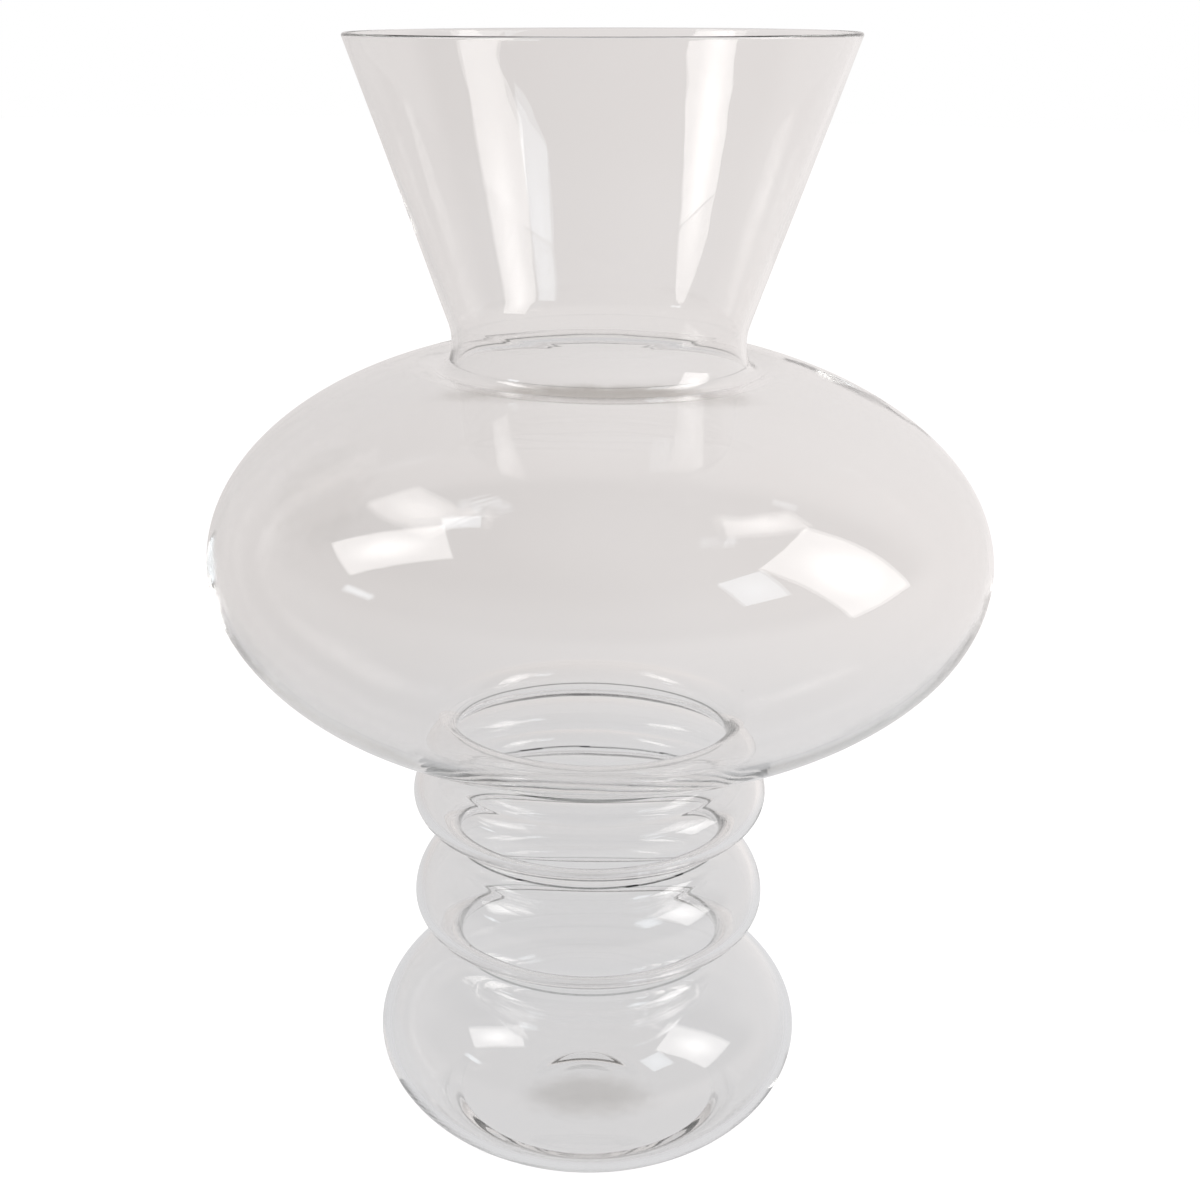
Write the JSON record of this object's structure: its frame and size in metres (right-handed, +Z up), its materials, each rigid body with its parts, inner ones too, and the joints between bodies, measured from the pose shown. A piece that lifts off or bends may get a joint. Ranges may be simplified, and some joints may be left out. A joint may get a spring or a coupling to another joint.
{
  "type": "trumpet vase",
  "caption": "Clear glass vase: a flared trumpet neck on a wide flattened bowl, over stacked rings and a round base bulb. Holds cut flowers in water.",
  "frame": {"origin": "centre of the foot, on the table", "axes": "+Z up along the axis of the vase; the vase is round, so +X and +Y are any two level directions"},
  "size_m": [0.2744, 0.2744, 0.4],
  "materials": {
    "clear_glass": "clear fire-polished glass, faintly warm grey"
  },
  "bodies": {
    "root": {"trumpet_neck": "clear_glass", "main_bowl": "clear_glass", "upper_ring": "clear_glass", "lower_ring": "clear_glass", "base_bulb": "clear_glass"}
  },
  "joints": []
}
